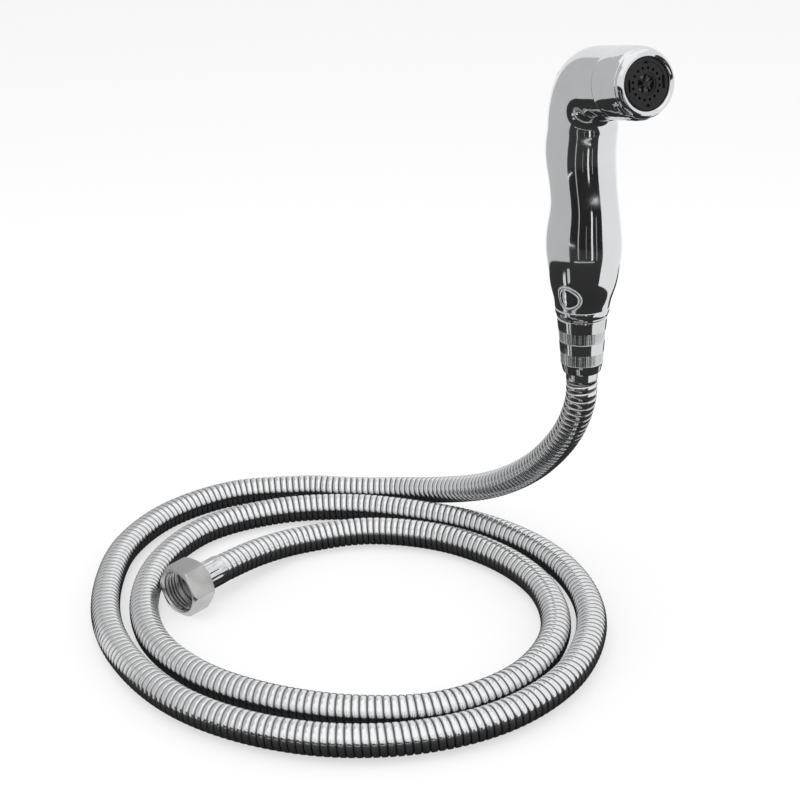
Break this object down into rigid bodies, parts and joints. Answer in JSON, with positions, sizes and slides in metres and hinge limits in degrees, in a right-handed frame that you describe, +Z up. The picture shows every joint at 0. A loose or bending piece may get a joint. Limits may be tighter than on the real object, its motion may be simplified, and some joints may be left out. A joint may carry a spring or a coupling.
{
  "type": "handheld bath sprayer",
  "caption": "Chromed handheld sprayer for washing pets: oval handle, forward spray head, thumb lever that opens the valve, wound metal hose with a swivel cone nut and a hexagon supply nut.",
  "frame": {"origin": "on the handle's axis, at the seam where the swivel cone nut meets the bottom rim of the handset", "axes": "+Z up along the handle, spray towards -Y (pitched up by the head's angle), thumb lever on the +Y side, +X to the side; the hose lies on a plane below and its free end points towards -X"},
  "size_m": [0.2418, 0.2784, 0.2785],
  "materials": {
    "chrome_shell": "polished chrome plate",
    "chrome_fitting": "polished chrome plate, knurled in places",
    "hose_metal": "chromed wound strip",
    "nickel_fitting": "satin nickel plate",
    "steel": "bright drawn steel",
    "brass": "machined",
    "inner_plastic": "moulded, natural white",
    "dark_plastic": "moulded, satin",
    "seal_rubber": "matt"
  },
  "bodies": {
    "handset": {"handle_shell": "chrome_shell", "head_cap": "chrome_shell", "bezel": "chrome_shell", "face_gasket": "seal_rubber", "face_disc": "dark_plastic", "aerator_core": "dark_plastic", "flow_disc": "inner_plastic", "outlet_cup": "inner_plastic", "valve_body": "inner_plastic", "valve_bonnet": "brass", "stem_oring": "seal_rubber", "return_spring": "steel", "lever_pin": "steel", "water_tube": "inner_plastic", "inlet_nipple": "chrome_fitting", "trim_ring": "chrome_shell", "inlet_washer": "seal_rubber", "upper_insert": "brass", "upper_ferrule": "chrome_fitting", "hose": "hose_metal", "supply_ferrule": "chrome_fitting", "supply_insert": "nickel_fitting"},
    "thumb_lever": {"lever": "chrome_shell"},
    "stem": {"valve_stem": "brass", "poppet_seal": "seal_rubber"},
    "swivel_cone": {"cone_nut": "chrome_fitting"},
    "supply_nut": {"hex_nut": "nickel_fitting"}
  },
  "joints": [
    {"name": "lever_press", "type": "hinge", "parent": "handset", "child": "thumb_lever", "pos_m": [0, -0.0065, 0.109], "axis": [-1, 0, 0], "range_deg": [0, 7], "stiffness_Nm_per_rad": 0.8, "springref_deg": -5.73},
    {"name": "stem_slide", "type": "slide", "parent": "handset", "child": "stem", "axis": [0, 0, -1], "range_m": [0, 0.001], "deforming": ["return_spring"]},
    {"name": "cone_nut_spin", "type": "hinge", "parent": "handset", "child": "swivel_cone", "pos_m": [0, 0, -0.0136], "axis": [0, 0, 1], "continuous": true},
    {"name": "supply_nut_spin", "type": "hinge", "parent": "handset", "child": "supply_nut", "pos_m": [-0.155, 0.0983, -0.139], "axis": [-0.9135, -0.4067, 0], "continuous": true}
  ],
  "couplings": [
    {"joint": "stem_slide", "follows": "lever_press", "m_per_rad": 0.008}
  ]
}
